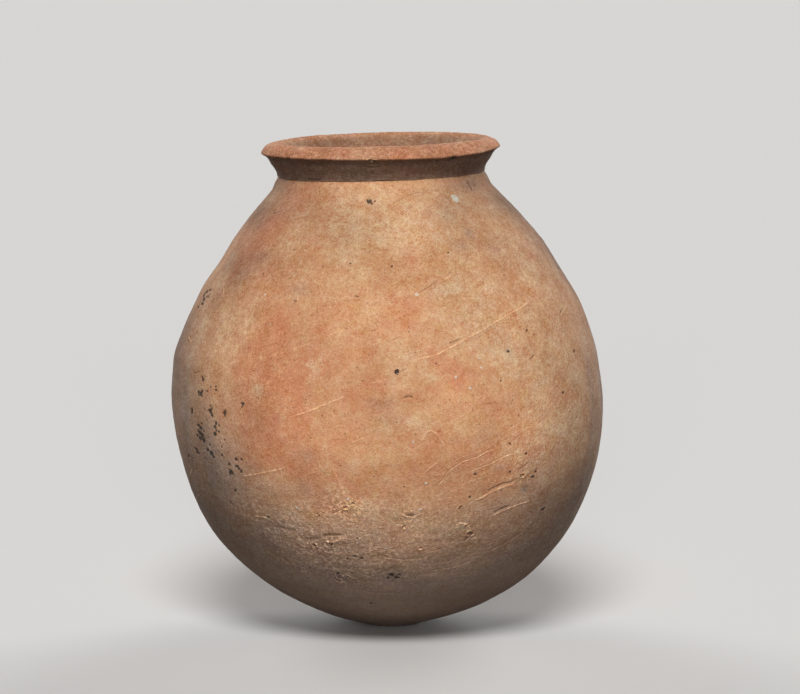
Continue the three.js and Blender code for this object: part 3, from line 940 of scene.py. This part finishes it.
def fired_clay(name, body_tone, blush_tone, smoke_tone, sandiness):
    """Matt fired clay: soft patches of its own tones and of painted shade and light, wiping streaks that
    climb to the right, sand grains and burnt-out specks, and the scratches and spots that the mesh marks."""
    material = bpy.data.materials.new(name)
    clay = bare(material)
    place = clay.node("TexCoord", output="Object")
    height = clay.node("SeparateXYZ", inputs={"Vector": place}, output="Z") * (1 / MM)
    off_middle = clay.node("SeparateXYZ", inputs={"Vector": place}, output="X") * (1 / MM)

    def noise(size, detail=0.0, where=place, roughness=0.8):
        """Noise around 0, with lumps of about one size in mm and ever finer ones on them."""
        amounts = {"Vector": where, "Scale": 1 / (size * MM), "Detail": detail, "Roughness": roughness}
        return clay.node("TexNoise", inputs=amounts) - 0.5

    def clouds(size, detail=5.0):
        """Noise whose finer lumps are nearly as strong as its large ones."""
        return noise(size, detail, roughness=0.87)

    def specks(cell, largest, wobble):
        """Spots of random sizes up to the largest radius, one at most in each cell."""
        amounts = {"Vector": place, "Scale": 1 / (cell * MM)}
        chance = clay.node("TexVoronoi", inputs=amounts, output="Color")
        size = clay.node("SeparateColor", inputs={"Color": chance}) * (largest / cell)
        distance = clay.node("TexVoronoi", inputs=amounts, output="Distance")
        return (size - distance + wobble).between(0, 0.1)

    def mark(mark_name):
        return clay.node("Attribute", {"attribute_name": mark_name}, output="Fac")

    # The streaks of the wiping hand climb the body at about 24 degrees, and lie level low down.
    streak_turn = -1 / (belly_radius * math.tan(math.radians(24)))
    spin = {"Vector": place, "Angle": height * streak_turn}
    spun = clay.node("VectorRotate", {"rotation_type": "Z_AXIS"}, spin)
    climbing = clay.node("VectorMath", {"operation": "MULTIPLY"}, {0: spun, 1: (1, 1, 0.1)})
    level = clay.node("VectorMath", {"operation": "MULTIPLY"}, {0: place, 1: (0.08, 0.08, 1)})
    low_down = (height * -1).between(-118, -62)
    streak = noise(2.2, 3.0, climbing) * (1 - low_down) + noise(1.5, 3.0, level) * low_down

    # The body's tone takes an orange blush, then a pale bloom, then the grey of smoke, wear and painted
    # shade, each with soft edges.
    tint = clouds(24)
    cloud = clouds(17)
    fleck = noise(2.3, 2.0)
    grit = noise(0.95, 1.0)
    blushed = (mark("blush") + tint * 3.0 + streak * 0.3).between(-0.1, 1.1)
    bloom = (mark("pale") - tint * 1.6 + cloud * 2.2 + grit * 0.7).between(0.15, 1.1) * 0.85
    smoke_and_shade = mark("grey") * (1 - cloud * 0.8 + streak * 0.3)
    colour = clay.mix(blushed, body_tone, blush_tone)
    colour = clay.mix(bloom, colour, pale_tone)
    colour = clay.mix(smoke_and_shade, colour, smoke_tone)

    # Grains of rusty grit, burnt-out chaff, pores and pale sand lie all through the clay.
    rust = specks(6.5, 1.3, fleck * 0.35)
    burnt = specks(3.6, 0.75, fleck * 0.25)
    pores = specks(1.7, 0.5, 0.0)
    sand = specks(2.3, 0.55, fleck * 0.2)
    colour = clay.mix(rust * 0.35, colour, rust_tone)
    colour = clay.mix(burnt * 0.42 + pores * 0.25, colour, dark_tone)
    colour = clay.mix(sand * 0.4, colour, pale_tone)

    # A scratch is a broken groove darkened with painted shade, with a pale edge that is partly a painted
    # highlight, and a pit is a hollow darkened with painted shade in a ring brightened with a painted
    # highlight.
    across = mark("across") + fleck
    broken = 0.5 + 0.5 * fleck.between(-0.08, 0.08)
    groove = mark("groove") * across.hump(0, 1.3) * broken
    edge = mark("edge") * across.hump(-1.3, 1.5) * broken
    pit = mark("pit") + fleck * 0.7
    hollow = pit.between(0.56, 0.74)
    ring = pit.hump(0.44, 0.16)
    soot = (mark("soot") + fleck * 1.7 + grit * 0.5).between(0.4, 0.58)
    lime = (mark("lime") + fleck * 0.4).between(0.46, 0.6)
    colour = clay.mix(groove * 0.8 + hollow * 0.35, colour, dark_tone)
    colour = clay.mix(edge * 0.5, colour, pale_tone)
    colour = clay.mix(soot * 0.9, colour, soot_tone)
    colour = clay.mix(lime * 0.82, colour, lime_tone)

    # The clay is redder and deeper where it is darker. It varies most on the shoulder and to the
    # sides, and least at the bottom, and red and blue also vary a little on their own.
    contrast = 1 + height.between(180, 250) * 0.3 + (off_middle * off_middle).between(1600, 9000) * 0.3
    contrast = contrast - (height * -1).between(-76, -42) * 0.45
    vary = (cloud + fleck * 0.62 + grit * 0.75 + streak * 0.25) * contrast
    # Painted highlights brighten the edges of scratches, the rings of pits and the worn bumps of rough
    # clay, which are also abraded paler. The dark mark darkens with the clay's own tone and painted shade,
    # and where it is below zero it brightens with painted light.
    raised = mark("rough") * (fleck.between(0.0, 0.13) * 0.3 - 0.08)
    shade = (1 + edge * 0.45 + ring * 0.25 + raised) * (1 - mark("dark"))
    red = shade * (1 + vary * 0.62 + clouds(13) * 0.22)
    green = shade * (1 + vary * 1.17)
    blue = shade * (1 + vary * 1.55 + clouds(10.3, 4.0) * 0.6)
    varied = clay.node("CombineXYZ", inputs={"X": red, "Y": green, "Z": blue})
    colour = clay.node("VectorMath", {"operation": "MULTIPLY"}, {0: colour, 1: varied})

    # The relief is in millimetres.
    coarse = 0.7 + mark("rough") * 0.55 - low_down * 0.4
    relief = fleck * (0.45 * sandiness * coarse) + grit * (0.2 * sandiness) + cloud * (0.4 * coarse)
    relief = relief + streak * 0.2 - burnt * 0.25 - groove * 0.35 + edge * 0.2 - soot * 0.15 + lime * 0.12
    relief = relief + ring * 0.25 - hollow * 0.4
    bump = clay.node("Bump", inputs={"Strength": 1.0, "Distance": MM, "Height": relief}, output="Normal")
    looks = {"Base Color": colour, "Roughness": 0.9 + grit * 0.12, "Specular IOR Level": 0.22}
    looks["Normal"] = bump
    clay.node("BsdfPrincipled", inputs=looks).show()
    return material


def finish_piece(piece, material, node):
    """Gives a piece its material and lets it stand for its node."""
    piece.data.materials.append(material)
    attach(piece, "root")
    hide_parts(node)


buff_clay = fired_clay(
    "buff_earthenware",
    body_tone=(0.69, 0.37, 0.191, 1),
    blush_tone=(0.655, 0.272, 0.134, 1),
    smoke_tone=(0.39, 0.267, 0.2, 1),
    sandiness=1.1,
)

bowl_outside = part_of(outer_skin, outer_marks, 0, outer_rows[2])
bowl_inside = part_of(inner_skin, inner_marks, inner_rows[3], inner_rows[5])
base_bowl = clay_piece(
    "base_bowl_clay", [bowl_outside, *bridge(bowl_outside, bowl_inside), bowl_inside], closed=False
)
finish_piece(base_bowl, buff_clay, "base_bowl")


def wall_ring(name, number):
    """One ring of the wall, between its two scarf joints."""
    outside = part_of(outer_skin, outer_marks, outer_rows[number], outer_rows[number + 1])
    inside = part_of(inner_skin, inner_marks, inner_rows[4 - number], inner_rows[5 - number])
    return clay_piece(name, [outside, *bridge(outside, inside), inside, *bridge(inside, outside)])


lower_wall = wall_ring("lower_wall_clay", 2)
finish_piece(lower_wall, buff_clay, "lower_wall")
belly_wall = wall_ring("belly_wall_clay", 3)
finish_piece(belly_wall, buff_clay, "belly_wall")

# The shoulder ring ends in the ledge, tongue and groove that the collar sits on.
shoulder_outside = part_of(outer_skin, outer_marks, outer_rows[4], outer_rows[5])
shoulder_inside = part_of(inner_skin, inner_marks, inner_rows[0], inner_rows[1])
neck_joint = [
    (tongue_radius, neck_top),
    (tongue_radius, tongue_top),
    (throat_radius + groove_depth, tongue_top),
]
shoulder_wall = clay_piece(
    "shoulder_wall_clay",
    [
        shoulder_outside,
        *bridge(shoulder_outside, shoulder_inside, neck_joint),
        shoulder_inside,
        *bridge(shoulder_inside, shoulder_outside),
    ],
)
finish_piece(shoulder_wall, buff_clay, "shoulder_wall")

# Rim collar
# The mouth was made apart as a thick ring of sandier clay with an everted lip, and set over the
# neck while both were leather-hard. Its ridge is worn and chipped, and its ragged foot stands
# just off the neck, as the sharp dark line under the collar shows.
rim_low, rim_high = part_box("rim_collar")
ridge_radius = (rim_high.y - rim_low.y) / 2 / MM
ridge_height = 312.4
collar_foot = 297.0
lip_crown = 6.6
lip_rounding = 5.8
foot_radius = 67.7
foot_overhang = 1.3
lip_radius = 67.6
funnel_depth = 11.2
collar_seat = 303.0
joint_clearance = 0.3

rim_ridge = (ridge_radius, ridge_height)
rim_lip = (lip_radius, ridge_height + lip_crown)
rim_throat = (throat_radius, rim_lip[1] - funnel_depth)
rim_profile, rim_rows = in_runs(
    [
        bezier(
            (foot_radius, collar_foot),
            (foot_radius + foot_overhang / 2, collar_foot + (ridge_height - collar_foot) / 3),
            (foot_radius + foot_overhang, ridge_height - lip_rounding / 2),
            rim_ridge,
        ),
        bezier(rim_ridge, (ridge_radius - foot_overhang, ridge_height + lip_rounding), rim_lip),
        bezier(rim_lip, (throat_radius + foot_overhang, rim_lip[1] - lip_rounding), rim_throat),
        np.array([rim_throat, (throat_radius, collar_seat + groove_height)]),
    ],
    [0.46, 0.46, 0.6, 1.4],
)

# The ridge is worn round: a few rows on both sides of it are averaged with their neighbours.
worn_rows = 9
worn_rounds = 6
ridge_rows = slice(rim_rows[1] - worn_rows, rim_rows[1] + worn_rows + 1)
for _ in range(worn_rounds):
    ridge = rim_profile[ridge_rows]
    ridge[1:-1] = (ridge[:-2] + 2 * ridge[1:-1] + ridge[2:]) / 4
rim_points, rim_outward = turned(rim_profile)
rim_outside = rim_profile[: rim_rows[2]]

# Folds and smears on the collar, and the sooty notch in its ridge, as seen in the photograph. They
# are given like the scratches and spots of the body.
rim_scratches = [
    ([364.5, 162.2, 368.5, 160.2, 373, 157.6, 376, 156], 0.6, 0.3, 0.9),
    ([366, 163.6, 370.6, 162.6, 375.4, 163.6, 378.4, 162.4], 0.6, 0.3, 1),
    ([365, 158, 370, 156.4, 376, 157.8, 379, 156.8], 0.5, 0.3, 0.7),
    ([370, 160.4, 374.6, 160.2, 378.6, 158.8], 0.5, 1, 0.2),
    ([362.6, 164.6, 371, 166, 381, 165], 0.7, 0.8, 0), ([450, 157.4, 453, 154.6, 454.6, 152.2], 0.55, 1, 0),
    ([453.4, 157, 456, 154.4, 457.6, 152.4], 0.55, 1, 0.1),
    # The last line, along the foot on the left, is painted shade in the crevice under the collar.
    ([457, 156.2, 459.4, 154, 461, 152.6], 0.5, 1, 0), ([305, 179.4, 313, 180, 322, 180.6], 0.8, 1, 0),
]
rim_soot_spots = [
    (448.6, 157.8, 1.2, 0.7), (452.8, 156.4, 1.4, 0.8), (457, 155.2, 1.4, 0.9), (461, 154.4, 1.2, 0.6),
    (436.5, 158.8, 0.8, 0.5), (441, 158.2, 0.7, 0.4), (488, 146.2, 0.8, 0.6), (374.6, 160.6, 0.9, 0.5),
]
rim_lime_spots = [
    (371.8, 160.6, 1, 0.6), (310.4, 151.6, 0.5, 0.5), (433.4, 158.4, 0.6, 0.5), (331.6, 156.4, 0.5, 0.5),
]
# Chips of the ridge, by side angle, half width and depth.
rim_chips = [
    (-94, 4, 0.55), (-53, 5, 0.7), (-140, 3, 0.5), (-118, 2.4, 0.35), (-76, 2.2, 0.3), (-21, 4, 0.5),
    (8, 3.5, 0.8), (34, 6, 0.9), (71, 3, 0.7), (88, 4.5, 0.6), (119, 5.5, 1), (151, 3.2, 0.6),
    (179, 4, 0.6),
]

rim_paths = [(on_the_clay(path, rim_outside), *rest) for path, *rest in rim_scratches]
rim_across, rim_groove, rim_edge = scratched(rim_points, rim_outward, rim_paths)
rim_soot = spotted(rim_points, seen_patches(rim_soot_spots, rim_outside))
rim_lime = spotted(rim_points, seen_patches(rim_lime_spots, rim_outside))

# Where a point lies on the collar: its side, and how far it is above the ridge and from the axis.
rim_side = np.arctan2(rim_points[..., 1], rim_points[..., 0])
rim_level = rim_points[..., 2] - ridge_height
from_axis = np.hypot(rim_points[..., 0], rim_points[..., 1])
nearness = -np.sin(rim_side)
rightness = np.cos(rim_side)
on_crown = ease((rim_level + 0.8) / 1.6) * ease((from_axis - 61) / 7)
underneath = ease((0.4 - rim_level) / 1.5) * ease((from_axis - 62) / 4)
under_ridge = underneath * np.exp(-(((rim_level + 1.5) / 2.5) ** 2))
by_ridge = np.exp(-((rim_level / 1.6) ** 2)) * ease((from_axis - 73) / 3)
by_foot = ease(1 - (rim_level + ridge_height - collar_foot) / 3) * ease((from_axis - 66) / 1.5)
inside = ease((67 - from_axis) / 5)

# The crown is orange and rough. Underneath and inside the mouth the collar is greyed and darkened with
# painted shade, most just under the ridge.
rim_blush = on_crown * (0.5 + 0.3 * nearness + 0.3 * clay_noise(rim_points, 13, 71))
rim_grey_and_shade = 0.8 * underneath + 0.2 * inside + 0.15 * clay_noise(rim_points, 11, 72)
rim_pale = 0.2 * inside + 0.35 * np.clip(clay_noise(rim_points, 9, 73), 0, 1) * (1 - underneath)
rim_painted_shade = 0.41 * underneath + 0.17 * under_ridge + 0.34 * inside
rim_rough = 0.5 + 0.4 * on_crown
rim_pit = np.zeros_like(rim_blush)
rim_tones = [rim_blush, rim_grey_and_shade, rim_pale, rim_painted_shade, rim_rough]
rim_marks = np.stack([*rim_tones, rim_soot, rim_lime, rim_pit, rim_across, rim_groove, rim_edge], -1)

# The crown is a little flatter on the right, the ridge droops in front, most at the right, and the
# foot is ragged.
crown_height = 7.05
crown_share = (crown_height - 0.5 * np.clip(rightness, 0, 1)) / lip_crown
lowered = np.where(rim_level > 0, rim_level * (crown_share - 1), 0)
droop = 0.9 + 0.9 * rightness + 1.4 * np.clip(rightness, 0, 1)
lowered -= droop * np.clip(nearness, 0, 1) ** 2 * ease((from_axis - 70) / 8)
ragged = 0.45 + 0.45 * clay_noise(rim_points, 7, 74) - 0.7 * np.clip(nearness * rightness, 0, 1)
lowered += ragged * by_foot

# Its face swells out below the ridge, and the ridge is lumpy and chipped. None of it reaches past
# the ridge of the solid, and both ends of the face keep their place.
rim_headroom = 0.3
face_swell = 1.9
rim_relief = lumps(
    rim_points,
    [
        (0.26, 21, 75),
        (0.14, 7, 76),
        (0.07 + 0.06 * on_crown, 2.2, 77),
        (0.3 * by_ridge, 4.5, 78),
        (0.14 * by_ridge, 1.7, 79),
    ],
)
rim_relief += face_swell * ease((from_axis - 66) / 2) * np.exp(-(((rim_level + 6.0) / 4.6) ** 2))
for angle, half_width, depth in rim_chips:
    rim_relief -= depth * by_ridge * hump(turn_from(rim_side, angle) * ridge_radius / half_width)
rim_relief += 0.4 * (rim_edge * hump((rim_across + 1) / 1.6) - rim_groove * hump(rim_across / 1.6))
rim_relief = np.minimum(rim_relief - rim_headroom, 0.5 * (ridge_radius - from_axis))
rim_relief[[0, -1]] = 0
rim_points[..., 2] += lowered
rim_skin = by_hand(rim_points + rim_outward * rim_relief[..., None])

rim_clay = fired_clay(
    "rim_earthenware",
    body_tone=(0.52, 0.272, 0.155, 1),
    blush_tone=(0.53, 0.232, 0.126, 1),
    smoke_tone=(0.262, 0.167, 0.122, 1),
    sandiness=1.4,
)
rim_face = part_of(rim_skin, rim_marks, 0, len(rim_skin) - 1)
rim_joint = [
    (throat_radius + groove_depth, collar_seat),
    (tongue_radius + joint_clearance, collar_seat),
    (tongue_radius + joint_clearance, collar_foot),
]
rim_collar = clay_piece("rim_collar_clay", [rim_face, *bridge(rim_face, rim_face, rim_joint)])
finish_piece(rim_collar, rim_clay, "rim_collar")

# Neck luting bead
# A roll of soft clay, pressed by finger over the neck joint on the inside, holds the collar to
# the neck. It stands a little proud of the throat and is smeared flat along its middle.
bead_middle = (tongue_top + collar_seat) / 2
bead_depth = 2.6
bead_half = 2.9
bead_proud = 1.15
smear_depth = 0.175
bead_front = bezier(
    (throat_radius, bead_middle + bead_half),
    (throat_radius - 2 * bead_proud, bead_middle + bead_half / 2),
    (throat_radius - 2 * bead_proud, bead_middle - bead_half / 2),
    (throat_radius, bead_middle - bead_half),
)
bead_profile = evenly(bead_front, 0.5)
bead_points, bead_outward = turned(bead_profile)
bead_fade = np.sin(np.linspace(0, math.pi, len(bead_profile)))[:, None]
bead_relief = smear_depth * bead_fade * (clay_noise(bead_points, 6, 91) - 1)
bead_skin = by_hand(bead_points + bead_outward * bead_relief[..., None])
luting = fired_clay(
    "luting_clay",
    body_tone=(0.48, 0.29, 0.185, 1),
    blush_tone=(0.52, 0.25, 0.14, 1),
    smoke_tone=(0.28, 0.175, 0.12, 1),
    sandiness=1.3,
)
bead_face = part_of(bead_skin, plain_marks(bead_points), 0, len(bead_skin) - 1)
neck_bead = clay_piece(
    "neck_luting_bead_clay",
    [bead_face, *bridge(bead_face, bead_face, [(throat_radius + bead_depth, bead_middle)])],
)
finish_piece(neck_bead, luting, "neck_luting_bead")

# Floor and light
# A wide pale floor carries the jar's shadow. It looks pale to the camera and in reflections, and
# throws back less light than it shows, so that the round bottom stays in its own shade.
floor_half = 40.0
floor_drop = 0.0002
pale_floor = (0.72, 0.71, 0.695, 1)
bounce_floor = (0.07, 0.067, 0.064, 1)
floor_sides = [(-1, -1), (1, -1), (1, 1), (-1, 1)]
floor_corners = [(x * floor_half, y * floor_half, -floor_drop) for x, y in floor_sides]
floor_mesh = bpy.data.meshes.new("floor")
floor_mesh.from_pydata(floor_corners, [], [(0, 1, 2, 3)])
floor = placed("floor", floor_mesh)
floor_material = bpy.data.materials.new("floor")
ground = bare(floor_material)


def seen_by_eye(wire):
    """1 for rays that come from the camera, a reflection or a glass, and 0 for the rest."""
    kinds = ["Is Camera Ray", "Is Glossy Ray", "Is Transmission Ray"]
    rays = [wire.node("LightPath", output=kind) for kind in kinds]
    return wire.math("MINIMUM", rays[0] + rays[1] + rays[2], 1.0)


floor_tone = ground.mix(seen_by_eye(ground), bounce_floor, pale_floor)
ground.node("BsdfDiffuse", inputs={"Color": floor_tone}).show()
floor_mesh.materials.append(floor_material)

world = bpy.data.worlds.new("studio")
bpy.context.scene.world = world
sky = bare(world)
room_glow = 0.04
backdrop_glow = 0.62
glow = room_glow + (backdrop_glow - room_glow) * seen_by_eye(sky)
sky.node("Background", inputs={"Color": (1, 0.99, 0.97, 1), "Strength": glow}).show("OutputWorld")


def soft_lamp(name, towards, strength, softness):
    """A broad even lamp far off in a direction from the jar, with the strength that white clay
    facing it would show, and the angle that it fills in degrees."""
    data = bpy.data.lights.new(name, "SUN")
    data.energy = strength * math.pi
    data.angle = math.radians(softness)
    placed(name, data).rotation_euler = Vector(towards).to_track_quat("Z", "Y").to_euler()


soft_lamp("key_above_front", (-0.02, -0.68, 0.733), 0.71, 24)
soft_lamp("low_front", (0.0, -0.995, 0.1), 0.45, 30)
soft_lamp("rear_right", (0.5, 0.8, 0.33), 0.56, 30)
soft_lamp("rear_left", (-0.5, 0.8, 0.33), 0.44, 30)

bpy.context.scene.view_settings.view_transform = "Standard"
